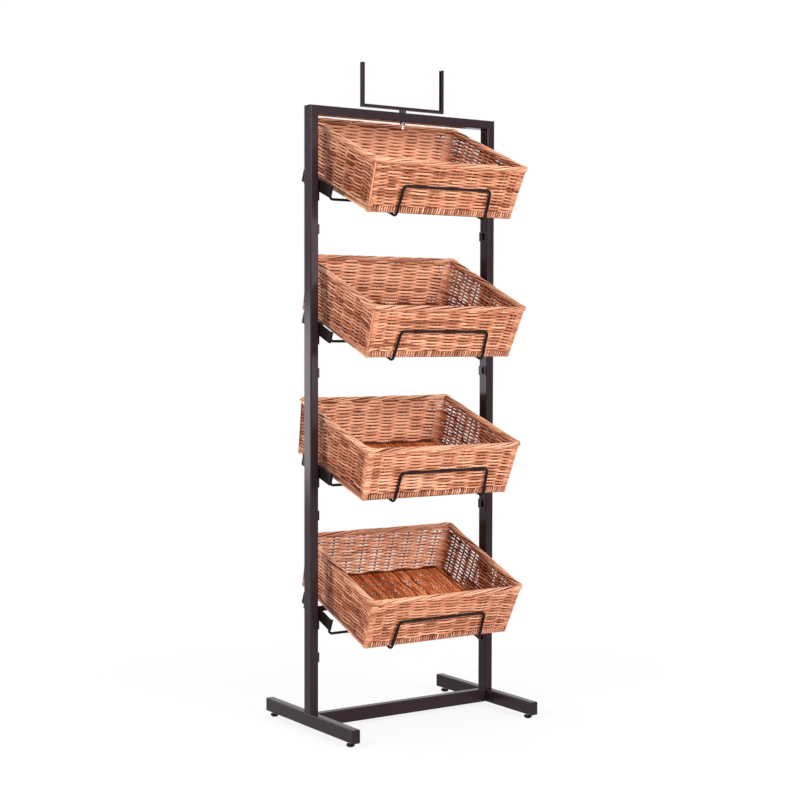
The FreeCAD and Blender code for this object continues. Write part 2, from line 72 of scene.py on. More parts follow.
# Where the stakes stand along the front, right, back and left walls, as shares
# of each wall's length from one corner post to the next.
FRONT_STAKES = (0, 0.055, 0.115, 0.21, 0.312, 0.422, 0.535, 0.643, 0.755, 0.868, 0.94, 1)
SIDE_STAKES = (0, 0.075, 0.193, 0.331, 0.47, 0.608, 0.75, 0.889, 1)
BACK_STAKES = (0, 0.08, 0.185, 0.29, 0.395, 0.5, 0.605, 0.71, 0.815, 0.92, 1)
LEFT_STAKES = tuple(1 - share for share in reversed(SIDE_STAKES))
WALLS = [np.array(w) for w in (FRONT_STAKES, SIDE_STAKES, BACK_STAKES, LEFT_STAKES)]
SPACES = np.array([len(w) - 1 for w in WALLS])
STAKES = int(SPACES.sum())
CORNERS = tuple(int(n) for n in np.concatenate([[0], np.cumsum(SPACES)[:-1]]))
AHEAD_X, AHEAD_Y = np.array([1, 0, -1, 0]), np.array([0, 1, 0, -1])


def to_world(tier, points):
    """Points of a tier's sloping frame, in the rack's frame and in metres."""
    slope = math.radians(TIERS[tier].slope)
    x, u, v = points[..., 0], points[..., 1], points[..., 2] + TIERS[tier].lift
    y = TIER_BACK + u * math.cos(slope) - v * math.sin(slope)
    z = TIER_TOP - TIER_PITCH * tier + u * math.sin(slope) + v * math.cos(slope)
    return np.stack([x, y, z], -1) / 1000


# ---- meshes made of many strands ----

# Painted shade in each strand's tone, where strands hide and touch each other.
RECESS_SHADE = 0.8                            # painted shade: how much darker the hidden sides are
GROOVE_SHADE = 0.52                           # the share of it in the grooves between rows
UNDERSIDE_SHADE = 0.6                         # how much more of it lies under a row than above
FLANK_SHADE = 0.75                            # and on the flanks of strands laid side by side
CLEARING = 1.2                          # how fast it fades on the sides that face away
GRAIN_LENGTH, GRAIN_TURN, MARKS = 100, 6, 100


def unit(vectors):
    return vectors / np.maximum(np.linalg.norm(vectors, axis=-1, keepdims=True), 1e-9)


class Strands:
    """Tubes gathered into one mesh, each with its own tone and grain, the tone darkened by
    painted shade.
    """

    def __init__(self, seed):
        self.random = np.random.default_rng(seed)
        self.points, self.quads, self.caps = [], [], {}
        self.tones, self.grains, self.count = [], [], 0

    def tube(self, path, normal, wide, tall, tone, sides=8, closed=False, shade_depth=0.0, away=None):
        """A tube along `path`; `wide` is its half width along `normal`.

        Painted shade darkens it where strands touch and hide it. The shade depth is how far
        the tube stands out of the weave along `normal`, from -1 to 1, and `away` is the
        direction away from the strands that it is laid with: the sides that face them
        take painted shade.
        """
        path = np.asarray(path, float)
        count = len(path)
        if closed:
            tangent = unit(np.roll(path, -1, 0) - np.roll(path, 1, 0))
        else:
            tangent = unit(np.gradient(path, axis=0))
        normal = np.broadcast_to(np.asarray(normal, float), path.shape)
        up = unit(np.cross(tangent, normal))
        out = np.cross(up, tangent)
        turn = 2 * np.pi * (np.arange(sides) + 0.5) / sides
        outward = np.cos(turn)[None, :, None] * out[:, None]
        upward = np.sin(turn)[None, :, None] * up[:, None]
        wide = np.broadcast_to(np.asarray(wide, float), (count,))[:, None, None]
        tall = np.broadcast_to(np.asarray(tall, float), (count,))[:, None, None]
        self.points.append((path[:, None] + outward * wide + upward * tall).reshape(-1, 3))
        self.join(count, sides, closed)

        steps = np.linalg.norm(np.diff(path, axis=0), axis=1)
        along = np.concatenate([[0], np.cumsum(steps)])
        mark = self.random.uniform(0, MARKS)
        grain = (
            np.repeat(along, sides) / GRAIN_LENGTH,
            np.tile(turn, count) / GRAIN_TURN,
            np.full(count * sides, mark),
        )
        self.grains.append(np.stack(grain, -1))

        tone = np.broadcast_to(np.asarray(tone, float), (count,))
        # Painted shade: darker on the sides hidden in the weave, in the grooves, under each row
        # and on the flanks that face other strands.
        if away is None:
            shade_depth = np.broadcast_to(np.asarray(shade_depth, float), (count,))
            groove_shade = GROOVE_SHADE * np.sin(turn) ** 2 * (1 + UNDERSIDE_SHADE * np.sin(turn))
            painted_shade = groove_shade[None, :] - np.cos(turn)[None, :] * shade_depth[:, None]
        else:
            facing = outward + upward
            painted_shade = FLANK_SHADE - (facing * away[:, None]).sum(-1) * CLEARING
        self.tones.append((tone[:, None] - RECESS_SHADE * np.clip(painted_shade, 0, 1)).ravel())
        self.count += count * sides

    def join(self, count, sides, closed):
        """The faces of a tube of `count` rings, with a cap at each open end."""
        rows = np.arange(count if closed else count - 1)
        i, k = np.meshgrid(rows, np.arange(sides), indexing="ij")
        j, m = (i + 1) % count, (k + 1) % sides
        quads = np.stack([i * sides + k, j * sides + k, j * sides + m, i * sides + m], -1)
        self.quads.append(quads.reshape(-1, 4) + self.count)
        if not closed:
            ends = self.caps.setdefault(sides, [])
            ends.append(np.arange(sides) + self.count)
            ends.append(np.arange(sides)[::-1] + self.count + (count - 1) * sides)

    def mesh(self, name, tier):
        """The gathered tubes as one object, set out in a tier's frame."""
        points = to_world(tier, np.concatenate(self.points))
        groups = [np.concatenate(self.quads)]
        groups += [np.array(ends) for ends in self.caps.values()]
        corners = np.concatenate([g.ravel() for g in groups]).astype(np.int32)
        sizes = np.concatenate([np.full(len(g), g.shape[1]) for g in groups])
        starts = np.concatenate([[0], np.cumsum(sizes)[:-1]]).astype(np.int32)
        mesh = bpy.data.meshes.new(name)
        mesh.vertices.add(len(points))
        mesh.vertices.foreach_set("co", points.astype(np.float32).ravel())
        mesh.loops.add(len(corners))
        mesh.loops.foreach_set("vertex_index", corners)
        mesh.polygons.add(len(starts))
        mesh.polygons.foreach_set("loop_start", starts)
        mesh.update(calc_edges=True)
        mesh.validate()
        mesh.shade_smooth()
        # The tone attribute holds each strand's own tone together with its painted shade.
        tones = np.concatenate(self.tones).astype(np.float32)
        grains = np.concatenate(self.grains).astype(np.float32)
        mesh.attributes.new("tone", "FLOAT", "POINT").data.foreach_set("value", tones)
        grain = mesh.attributes.new("grain", "FLOAT_VECTOR", "POINT")
        grain.data.foreach_set("vector", grains.ravel())
        return link(name, mesh)


def link(name, data):
    """A new object in the scene."""
    made = bpy.data.objects.new(name, data)
    bpy.context.scene.collection.objects.link(made)
    return made


# ---- materials ----


class Nodes:
    """The node tree of a material or a world, with short calls for what they share."""

    def __init__(self, owner, shader):
        owner.use_nodes = True
        self.owner = owner
        self.tree = owner.node_tree
        self.shader = self.tree.nodes[shader]

    def add(self, kind, inputs=None, **settings):
        node = self.tree.nodes.new(kind)
        for key, value in settings.items():
            setattr(node, key, value)
        for key, value in (inputs or {}).items():
            self.put(node.inputs[key], value)
        return node

    def put(self, socket, value):
        if isinstance(value, bpy.types.NodeSocket):
            self.tree.links.new(value, socket)
        else:
            socket.default_value = value

    def math(self, operation, a, b):
        return self.add("ShaderNodeMath", {0: a, 1: b}, operation=operation).outputs[0]

    def blend(self, *parts):
        """The sum of values, each times its weight."""
        total = None
        for value, weight in parts:
            part = self.math("MULTIPLY", value, weight)
            total = part if total is None else self.math("ADD", total, part)
        return total

    def place(self):
        return self.add("ShaderNodeTexCoord").outputs["Object"]

    def stretched(self, vector, scale):
        return self.add("ShaderNodeMapping", {"Vector": vector, "Scale": scale}).outputs["Vector"]

    def noise(self, vector, scale, detail=3.0, roughness=0.6):
        inputs = {"Vector": vector, "Scale": scale, "Detail": detail, "Roughness": roughness}
        return self.add("ShaderNodeTexNoise", inputs).outputs["Fac"]

    def ramp(self, value, *stops):
        node = self.add("ShaderNodeValToRGB", {"Fac": value})
        elements = node.color_ramp.elements
        while len(elements) < len(stops):
            elements.new(0.5)
        for element, (place, colour) in zip(elements, stops):
            element.position = place
            element.color = (*colour, 1)
        return node.outputs["Color"]

    def span(self, value, low, high, **inputs):
        """`value` from 0 to 1, or between other limits, drawn out from low to high."""
        inputs = {key.replace("_", " "): limit for key, limit in inputs.items()}
        inputs.update({"Value": value, "To Min": low, "To Max": high})
        return self.add("ShaderNodeMapRange", inputs).outputs["Result"]

    def directly_seen(self):
        """1 for a ray that shows a surface, 0 for one that only gathers light."""
        rays = self.add("ShaderNodeLightPath").outputs
        seen = self.math("MAXIMUM", rays["Is Camera Ray"], rays["Is Glossy Ray"])
        return self.math("MAXIMUM", seen, rays["Is Transmission Ray"])

    def bump(self, height, strength, distance):
        inputs = {"Height": height, "Strength": strength, "Distance": distance}
        node = self.add("ShaderNodeBump", inputs)
        self.put(self.shader.inputs["Normal"], node.outputs["Normal"])

    def finish(self, **sockets):
        for key, value in sockets.items():
            self.put(self.shader.inputs[key.replace("_", " ")], value)
        return self.owner


def material(name):
    return Nodes(bpy.data.materials.new(name), "Principled BSDF")


def wicker(name, dark, middle, light):
    """Peeled cane: a tone for each strand with painted shade in it, streaks along it and darker
    patches.
    """
    n = material(name)
    tone = n.add("ShaderNodeAttribute", attribute_name="tone").outputs["Fac"]
    grain = n.add("ShaderNodeAttribute", attribute_name="grain").outputs["Vector"]
    streaks = n.noise(n.stretched(grain, (6.0, 9.0, 3.0)), 1.0, 4.0, 0.65)
    patches = n.noise(n.place(), 26.0, 2.0, 0.5)
    mixed = n.blend((tone, 0.7), (streaks, 0.26), (patches, 0.14))
    n.bump(streaks, 0.25, 0.0006)
    return n.finish(
        Base_Color=n.ramp(mixed, (0.12, dark), (0.5, middle), (0.88, light)),
        Roughness=n.span(streaks, 0.3, 0.56),
        Specular_IOR_Level=0.16,
    )


def coat(name, dark, light, smooth, rough, gloss):
    """Powder coat: a fine orange peel with small changes of gloss."""
    n = material(name)
    place = n.place()
    cloud = n.noise(place, 7.0, 4.0, 0.6)
    peel = n.noise(place, 900.0, 2.0, 0.5)
    mixed = n.blend((cloud, 0.75), (peel, 0.25))
    n.bump(peel, 0.03, 0.0004)
    return n.finish(
        Base_Color=n.ramp(mixed, (0.3, dark), (0.7, light)),
        Roughness=n.span(mixed, smooth, rough),
        Specular_IOR_Level=gloss,
        Specular_Tint=(1.0, 0.8, 0.85, 1.0),
    )


def zinc():
    """Bright zinc plate with a faint brushed grain."""
    n = material("zinc_plate")
    streaks = n.noise(n.stretched(n.place(), (900.0, 900.0, 120.0)), 1.0)
    n.bump(streaks, 0.08, 0.0002)
    return n.finish(
        Base_Color=n.ramp(streaks, (0.3, (0.2, 0.2, 0.22)), (0.7, (0.38, 0.38, 0.41))),
        Metallic=1.0,
        Roughness=n.span(streaks, 0.2, 0.36),
    )


def moulded():
    """Black moulded plastic, dusty in its finest grain."""
    n = material("moulded_pad")
    grain = n.noise(n.place(), 1400.0)
    n.bump(grain, 0.15, 0.0003)
    dark, light = (0.003, 0.0028, 0.003), (0.009, 0.0085, 0.009)
    return n.finish(
        Base_Color=n.ramp(grain, (0.3, dark), (0.8, light)),
        Roughness=n.span(grain, 0.5, 0.7),
        Specular_IOR_Level=0.15,
    )


FRAME_COAT = coat(
    "brown_powder_coat", (0.018, 0.0104, 0.0125), (0.026, 0.0168, 0.0198), 0.13, 0.24, 0.14
)
DARK_COAT = coat(
    "black_powder_coat", (0.007, 0.0035, 0.003), (0.012, 0.007, 0.006), 0.36, 0.48, 0.12
)
SLOTS = {
    "frame_coat": FRAME_COAT,
    "bracket_coat": DARK_COAT,
    "wire_coat": DARK_COAT,
    "zinc": zinc(),
    "pad": moulded(),
    "wicker_wall": wicker(
        "cane_wall", (0.13, 0.02, 0.006), (0.53, 0.2, 0.108), (0.84, 0.44, 0.28)
    ),
    "wicker_rim": wicker(
        "cane_rim", (0.12, 0.02, 0.007), (0.54, 0.23, 0.135), (0.86, 0.48, 0.31)
    ),
    "wicker_floor": wicker(
        "cane_floor", (0.11, 0.014, 0.003), (0.5, 0.11, 0.033), (0.78, 0.3, 0.12)
    ),
}


def dress(piece, slot, body):
    """Gives a new piece the material of its slot, and sets it on its body."""
    piece.data.materials.append(SLOTS[slot])
    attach(piece, body)


# ---- ways round a basket ----

# q counts the spaces between stakes round a basket, from its front left corner to
# the right. Lists of pairs below give a value at steps of q.


def wall_path(tier, q, height, inset):
    """Points round a basket's wall and the way outwards at each of them."""
    shift, reach = TIERS[tier].basket_set, TIERS[tier].reach
    q = np.mod(np.asarray(q, float), STAKES)
    height = np.broadcast_to(np.asarray(height, float), q.shape)
    share = height / WALL_TOP
    half = WIDTH / 2 + SIDE_FLARE * share - inset
    front = WIRE_DROP - reach - FRONT_FLARE * share + inset
    back = WIRE_DROP - reach + DEPTH + BACK_FLARE * share - inset
    radius = np.maximum(CORNER_RADIUS - inset, LEAST_RADIUS) + 0 * q
    side = np.searchsorted(CORNERS, q, side="right") - 1
    local = q - np.array(CORNERS)[side]
    t = np.zeros_like(q)
    for index, shares in enumerate(WALLS):
        here = side == index
        t[here] = np.interp(local[here], np.arange(len(shares)), shares)
    ex, ey = AHEAD_X[side], AHEAD_Y[side]
    nx, ny = ey, -ex
    corner_x = np.where((side == 0) | (side == 3), -half, half)
    corner_y = np.where((side == 0) | (side == 1), front, back)
    length = np.where(side % 2 == 0, 2 * half, back - front)
    arc = np.pi * radius / 4
    whole = length - 2 * radius + 2 * arc
    d = t * whole
    theta = np.where(d < arc, np.pi / 4 - d / radius, 0)
    theta = np.where(d > whole - arc, -(d - whole + arc) / radius, theta)
    run = np.clip(d - arc, 0, length - 2 * radius) + radius
    out_x = -ex * np.sin(theta) + nx * np.cos(theta)
    out_y = -ey * np.sin(theta) + ny * np.cos(theta)
    x = corner_x + ex * run - nx * radius + out_x * radius
    y = corner_y + ey * run - ny * radius + out_y * radius
    z = height + RISE * share * (y - front) / DEPTH
    return np.stack([x + shift, y, z], -1), np.stack([out_x, out_y, 0 * x], -1)


def along(q, steps):
    """The value at q of a list of pairs."""
    return np.interp(q, *zip(*steps))


def wander(random, q, size, waves):
    """A smooth closed wobble round the basket, with so many waves in it."""
    total = np.zeros_like(q)
    for count in waves:
        phase = random.uniform(0, 2 * np.pi)
        total += np.sin(2 * np.pi * count * q / STAKES + phase) * random.uniform(0.4, 1)
    return total * size / len(waves)


def ripple(q, length, phase):
    """A wave of one length, open where the way round ends."""
    return np.sin(2 * np.pi * q / length + phase)


def corner_gap(q, corner):
    return np.abs((q - corner + STAKES / 2) % STAKES - STAKES / 2)


def near_corner(q, reach=0.6):
    """1 at a corner of the basket, falling to 0 some way along the wall."""
    gap = np.min([corner_gap(q, corner) for corner in CORNERS], 0)
    return np.clip(1 - gap / reach, 0, 1)


MIDDLE = 0.62


def rods(random, q, pieces, middle=MIDDLE, spread=0.2):
    """A tone that changes where one rod ends and the next begins."""
    cuts = np.sort(random.uniform(0, STAKES, pieces))
    tones = random.normal(middle, spread, pieces + 1)
    return np.clip(tones[np.searchsorted(cuts, q)], 0.02, 1.0)


# ---- a basket's wall ----

WALL_SEED = 100
STEPS = 8                               # points to a space between stakes
ROWS, ROWS_LOW, ROWS_HIGH = 26, 16.8, 113.4
ROW_HALF = 1.85                         # half the thickness of a row
ROW_RODS = 11
MID_WALL = 4.5                          # from the outer face to the middle of the weave
SWING, SWING_LOSS = 2.6, 0.7            # how far rows swing, and less where they are tall
OPEN_ROW = 2.05

# The way a row passes the post at each corner: outside it above 0, inside it below.
BENDS = (
    (-0.4, 0.75, -0.7, -0.7),
    (-0.4, 0.75, -0.7, -0.7),
    (0.45, 0.75, -0.7, -0.7),
    (0.45, 0.75, -0.7, -0.7),
)

# Half the height of a row, where low means an open weave, and what is off that in
# each tier.
PACKING = (
    (0, 2.45), (4, 2.45), (8, 2.32), (10.5, 2.3), (11.5, 2.25), (12.4, 2.6), (13.6, 2.6),
    (14.6, 1.95), (18.3, 1.95), (19, 2.2), (19.9, 2.3), (20.5, 2.9), (28.5, 2.9),
    (30, 2.15), (33, 2.2), (35.5, 2.35), (37, 2.45),
)
OPEN = (
    ((0, 0), (37, 0)),
    ((0, 0), (37, 0)),
    ((29.1, 0), (29.5, -0.5), (31.4, -0.5), (32.2, 0)),
    ((14, 0), (14.6, 0.1), (18.3, 0.1), (19.5, 0), (20.5, -0.5), (28.5, -0.5), (29.5, 0)),
)

# How pale each tier's rods are, at the front, right, back and left, and what the
# left wall has on top of it from its back to its front. The paler back walls are
# painted light, palest on the top tier, whose back wall lies in shade under the
# rail; the darker right walls, seen from inside, are painted shade.
PALE_AT = (0, 10.5, 11.5, 18.5, 19.5, 28.5, 29.5, 36.5, 37)
TONE_AND_LIGHT = (
    (0.5, 0.34, 1.0, 0.48),
    (0.6, 0.34, 0.78, 0.5),
    (0.59, 0.34, 0.84, 0.49),
    (0.45, 0.16, 0.88, 0.51),
)
LEFT_PALE = ((29.5, 0), (31, 0.12), (33.5, 0.08), (35.5, -0.1), (36.6, -0.12), (37, 0))

# Painted shade: how much darker a row is where it goes behind a stake, and less in an open weave.
BEHIND_STAKE_SHADE = (
    (0, 0.3), (4, 0.3), (8, 0.7), (10.5, 0.7), (11.5, 1.4), (18.5, 1.4), (19.5, 1.35),
    (28.5, 1.35), (29.5, 2.2), (34, 2.0), (36.5, 1.4), (37, 0.3),
)
OPEN_SHADE_LOSS = 0.8

# Rows dip towards each corner, except at the left wall's front, and are slack in
# the front wall near its right end.
DIP, DIP_REACH = 5.0, 1.6
LEFT_LIFT = ((32.5, 0), (35.6, 4.0), (36.2, 4.0), (37, 0))
SLACK_AT, SLACK_REACH, SLACK = 1.4, 2.4, 0.1

# The top row, over the bent tops of the stakes, darker in tone: painted shade under the rim.
TOP_ROW_WIDE, TOP_ROW_TALL, TOP_ROW_SHADED_TONE = 2.4, 2.9, 0.4


def weave_wall(tier):
    """Rows of cane that pass in front of one stake and behind the next."""
    s = Strands(WALL_SEED + tier)
    random = s.random
    pitch = (ROWS_HIGH - ROWS_LOW) / ROWS
    q = np.arange(0, STAKES, 1 / STEPS)
    packed = wander(random, q, 1.3, (3, 4, 7))
    opened = along(q, OPEN[tier])
    packing = along(q, PACKING) + opened
    reach = SWING - (packing - OPEN_ROW) * SWING_LOSS
    front = TONE_AND_LIGHT[tier][0]
    tone_and_light = np.interp(q, PALE_AT, (*np.repeat(TONE_AND_LIGHT[tier], 2), front)) + along(q, LEFT_PALE)
    behind_stake_shade = along(q, BEHIND_STAKE_SHADE) - opened * OPEN_SHADE_LOSS
    dip = near_corner(q, DIP_REACH) ** 1.5 * DIP - along(q, LEFT_LIFT)
    slack = SLACK * np.clip(1 - np.abs(q - CORNERS[1] + SLACK_AT) / SLACK_REACH, 0, 1)
    sharp = near_corner(q) ** 0.7
    bend = np.zeros_like(q)
    for corner, way in zip(CORNERS, BENDS[tier]):
        bend[corner_gap(q, corner) < 1] = way
    for row in range(ROWS):
        arch = math.sin(math.pi * (row + 0.5) / ROWS)
        swing = np.cos(np.pi * (q + row)) * (1 - sharp) + bend * sharp
        lift = wander(random, q, 1.5, (7, 9, 13, 17)) + packed * arch
        height = ROWS_LOW + pitch * (row + 0.5) + lift * 0.7 - dip * arch ** 0.6
        path, out = wall_path(tier, q, height, MID_WALL)
        path = path + out * (swing * reach)[:, None]
        swell = ripple(q, random.uniform(7, 15), random.uniform(0, 6))
        thick = 1 + 0.11 * swell + random.normal(0, 0.04)
        tall = packing * thick * (1 - slack * arch)
        tones = rods(random, q, ROW_RODS) + tone_and_light - MIDDLE
        uneven = np.clip(0.85 + wander(random, q, 1.0, (5, 8, 11, 14)), 0.25, 1.2)
        # How much painted shade each row takes where it passes behind a stake.
        shade_depth = swing * behind_stake_shade * uneven
        s.tube(path, out, ROW_HALF * thick, tall, tones, closed=True, shade_depth=shade_depth)
    height = WALL_TOP + 2 * near_corner(q, 0.9) - 0.3
    path, out = wall_path(tier, q, height, MID_WALL)
    tones = rods(random, q, 9, TOP_ROW_SHADED_TONE)
    s.tube(path, out, TOP_ROW_WIDE, TOP_ROW_TALL, tones, closed=True, shade_depth=0.3)
    return s


STAKE_FOOT, POST_FOOT, STAKE_HEAD = 10.0, 13.0, 112.0
STAKE_HALF = 2.35
# Stakes are darker than the posts: painted shade, as they show only deep in the weave; their bent
# tops are lighter again.
SHADED_STAKE_TONE, POST_TONE = 0.2, 0.5
INNER_POST, OUTER_POST = 5.0, 3.9       # how deep a post stands in the wall

# A stake's top: how far it is bent along the wall, how high and how deep.
TAIL_ALONG = np.array([0, 0.04, 0.25, 0.6, 0.95])
TAIL_HEIGHT = np.array([106.0, 109.5, 112.0, 113.6, 116.0])
TAIL_INSET = np.array([4.6, 3.6, 1.9, 1.4, 2.6])


def stakes(s, tier):
    """The upright stakes, their bent tops and the thick posts at the corners."""
    bends = dict(zip(CORNERS, BENDS[tier]))
    for place in range(STAKES):
        if place in bends:
            foot, sway, tone = POST_FOOT, 0, POST_TONE
            inset = INNER_POST if bends[place] > 0 else OUTER_POST
        else:
            foot, sway, tone = STAKE_FOOT, s.random.normal(0, 0.03), SHADED_STAKE_TONE
            inset = MID_WALL
        levels = np.linspace(foot, STAKE_HEAD, 5)
        path, out = wall_path(tier, np.full(5, place + sway), levels, inset)
        tone = np.clip(s.random.normal(tone, 0.1), 0, 1)
        s.tube(path, out, STAKE_HALF, STAKE_HALF, tone)
        if place not in bends:
            path, out = wall_path(tier, place + sway + TAIL_ALONG, TAIL_HEIGHT, TAIL_INSET)
            s.tube(path, out, 1.9, 2.2, tone + 0.3)


# ---- its rim and foot ----

RIM_SEED = 200
RIM_STEPS = 12
RIM_STRANDS, RIM_TURNS = 7, 8
RIM_HEIGHT, RIM_INSET, RIM_PEAK = 118.4, 3.5, 2.0
RIM_RADIUS, RIM_STRAND_HALF = 3.8, 1.95


def plait_rim(tier):
    """The rolled border: strands laid at a long slant round each other."""
    s = Strands(RIM_SEED + tier)
    q = np.arange(0, STAKES, 1 / RIM_STEPS)
    peak = near_corner(q, 0.9) * RIM_PEAK
    for strand in range(RIM_STRANDS):
        lay = 2 * np.pi * (RIM_TURNS * q / STAKES + strand / RIM_STRANDS)
        lay = lay + wander(s.random, q, 0.9, (2, 3, 5, 8))
        path, out = wall_path(tier, q, RIM_HEIGHT, RIM_INSET)
        waver = 1 + 0.08 * ripple(q, s.random.uniform(4, 7), strand)
        away = out * np.cos(lay)[:, None]
        away[:, 2] = np.sin(lay)
        path = path + away * (RIM_RADIUS * waver)[:, None]
        path[:, 2] += peak
        half = RIM_STRAND_HALF * (1 + 0.07 * ripple(q, s.random.uniform(5, 9), strand))
        tones = rods(s.random, q, 9, 0.66)
        # The sides of each rim strand that face the others take painted shade.
        s.tube(path, out, half, half, tones, closed=True, away=away)
    return s


FOOT_SEED = 300
FOOT_RODS = ((4.6, 0.74), (9.8, 0.46), (15.2, 0.5))     # the height and tone of each
FOOT_INSET, FOOT_WIDE, FOOT_TALL = 4.6, 2.4, 2.5
SHADE_UNDER_WRAPS = (0.45, 0, 0.45, 0)        # painted shade: how much darker the rods are on each wall, where they lie behind the wraps

# A wrap from its top to its foot: inset and height, thickness, and shade.
WRAP_PROFILE = np.array(
    [(8.0, 18.9), (4.2, 17.6), (2.4, 13.8), (2.1, 10.2), (2.6, 6.4), (4.6, 3.2), (8.0, 2.2)]
)
WRAP_TAPER = np.array([0.8, 1, 1, 1, 1, 1, 0.8])
WRAP_SHADE = np.array([-0.8, -0.5, -0.05, 0.05, -0.05, -0.3, -0.5])
WRAP_LEAN = np.linspace(0.004, -0.004, len(WRAP_PROFILE))
WRAP_HALF, WRAP_FLAT, WRAPS = 2.3, 1.8, 60

# The wrapped walls: which, the wraps' way outwards, and where they begin and end.
WRAPPED = ((0, -1.0, 0.35, CORNERS[1] - 0.25), (2, 1.0, CORNERS[2] + 0.25, CORNERS[3] - 0.25))

KNOTS = ((4.2, 4.6), (9.5, 4.4), (14.6, 4.0))           # height and size at a corner
KNOT_TAPER = np.array([0.55, 0.8, 0.95, 1, 1, 1, 0.95, 0.8, 0.55])
KNOT_INSET = 4.7


def bind_foot(tier):
    """The foot border: short wraps at the front and back, rods on the sides."""
    s = Strands(FOOT_SEED + tier)
    random = s.random
    q = np.arange(0, STAKES, 1 / STEPS)
    darker = np.array(SHADE_UNDER_WRAPS)[np.searchsorted(CORNERS, q, side="right") - 1]
    for height, tone in FOOT_RODS:
        lift = wander(random, q, 0.8, (5, 7, 9, 13))
        inset = FOOT_INSET + wander(random, q, 0.5, (6, 8, 11))
        path, out = wall_path(tier, q, height + lift, inset)
        tones = rods(random, q, 6, tone) - darker
        s.tube(path, out, FOOT_WIDE, FOOT_TALL, tones, closed=True, shade_depth=0.2)
    for side, outwards, start, end in WRAPPED:
        counts = np.arange(len(WALLS[side]))
        ends = np.interp((start, end), CORNERS[side] + counts, WALLS[side])
        away = np.array([[0, outwards, 0]]) + np.zeros((len(WRAP_PROFILE), 3))
        for share in np.linspace(*ends, WRAPS):
            share = share + random.normal(0, 0.0006)
            lean = WRAP_LEAN + random.normal(0, 0.0007)
            marks = CORNERS[side] + np.interp(share + lean, WALLS[side], counts)
            path = wall_path(tier, marks, WRAP_PROFILE[:, 1], WRAP_PROFILE[:, 0])[0]
            half = WRAP_TAPER * random.normal(WRAP_HALF, 0.14)
            tone = np.clip(random.normal(0.5, 0.2), 0, 1) + WRAP_SHADE
            s.tube(path, (1.0, 0, 0), half, WRAP_FLAT, tone, away=away)
    for corner in CORNERS:
        for height, size in KNOTS:
            q = corner + np.linspace(-0.28, 0.3, len(KNOT_TAPER))
            path, out = wall_path(tier, q, height + random.normal(0, 0.4), KNOT_INSET)
            half = KNOT_TAPER * size
            s.tube(path, out, half * 0.95, half * 0.8, random.normal(0.4, 0.1), shade_depth=0.3)
    return s


# ---- its floor ----

FLOOR_SEED = 400
FLOOR_GAP = 4.0                         # from the foot's outline to the floor's
FLOOR_STICKS, FLOOR_RODS = 8, 92
FLOOR_LEVEL, STICK_LEVEL = 13.2, 12.4
FLOOR_SWING = 0.9
ROD_THICK, STICK_THICK, ROD_WIDE = 1.5, 1.6, 2.4        # half of each


def weave_floor(tier):
    """Fine rods from front to back, woven over and under cross sticks."""
    s = Strands(FLOOR_SEED + tier)
    random = s.random
    shift, reach = TIERS[tier].basket_set, TIERS[tier].reach
    front = WIRE_DROP - reach + FLOOR_GAP
    back = WIRE_DROP - reach + DEPTH - FLOOR_GAP
    half = WIDTH / 2 - FLOOR_GAP
    u = np.linspace(front, back, FLOOR_STICKS * 6 + 1)
    phase = (u - front) / (back - front) * FLOOR_STICKS
    for index in range(FLOOR_RODS):
        x = -half + 2 * half * (index + 0.5) / FLOOR_RODS + random.normal(0, 0.2)
        drift = np.cumsum(random.normal(0, 0.06, len(u)))
        swing = np.cos(np.pi * (phase - 0.5 + index))
        path = np.stack([x + shift + drift, u, FLOOR_LEVEL + swing * FLOOR_SWING], -1)
        tone = np.clip(random.normal(0.56, 0.23), 0, 1)
        wide = ROD_WIDE * random.normal(1.0, 0.05)
        # Rods are darker where they dip under a stick: painted shade.
        s.tube(path, (0, 0, 1.0), ROD_THICK, wide, tone, shade_depth=swing)
    x = np.linspace(-half, half, 12)
    for stick in range(FLOOR_STICKS):
        level = front + (back - front) * (stick + 0.5) / FLOOR_STICKS
        path = np.stack([x + shift, level + 0 * x, STICK_LEVEL + 0 * x], -1)
        s.tube(path, (0, 0, 1.0), STICK_THICK, ROD_WIDE, random.normal(0.4, 0.1))
    return s


def basket(tier):
    """The four woven pieces of a tier's basket."""
    number = tier + 1
    wall = weave_wall(tier)
    stakes(wall, tier)
    made = {
        "wall": (wall, "wicker_wall"),
        "rim": (plait_rim(tier), "wicker_rim"),
        "foot_border": (bind_foot(tier), "wicker_rim"),
        "floor": (weave_floor(tier), "wicker_floor"),
    }
    for part, (strands, slot) in made.items():
        piece = strands.mesh(f"woven_{part}_{number}", tier)
        dress(piece, slot, f"basket_{number}")
        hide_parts(f"basket_{number}_{part}")


# ---- round wire in place of the flat-sided one ----

WIRE_SEED = 500
BEND_STEPS = 8
WIRE_SIDES = 16
ASIDE = np.array([0.31, 0.23, 0.92])    # a way that no stretch of the wire runs


def filleted(points, radius):
    """A polyline with each corner rounded by an arc of `radius`."""
    path = [points[0]]
    for before, corner, after in zip(points, points[1:], points[2:]):
        back, ahead = unit(before - corner), unit(after - corner)
        turn = math.pi - math.acos(float(np.clip(back @ ahead, -1, 1)))
        middle = unit(back + ahead)
        side = unit(ahead - back)
        centre = corner + middle * (radius / math.cos(turn / 2))
        for step in range(BEND_STEPS + 1):
            angle = turn * (step / BEND_STEPS - 0.5)
            path.append(centre + (side * math.sin(angle) - middle * math.cos(angle)) * radius)
    path.append(points[-1])
    return np.array(path)


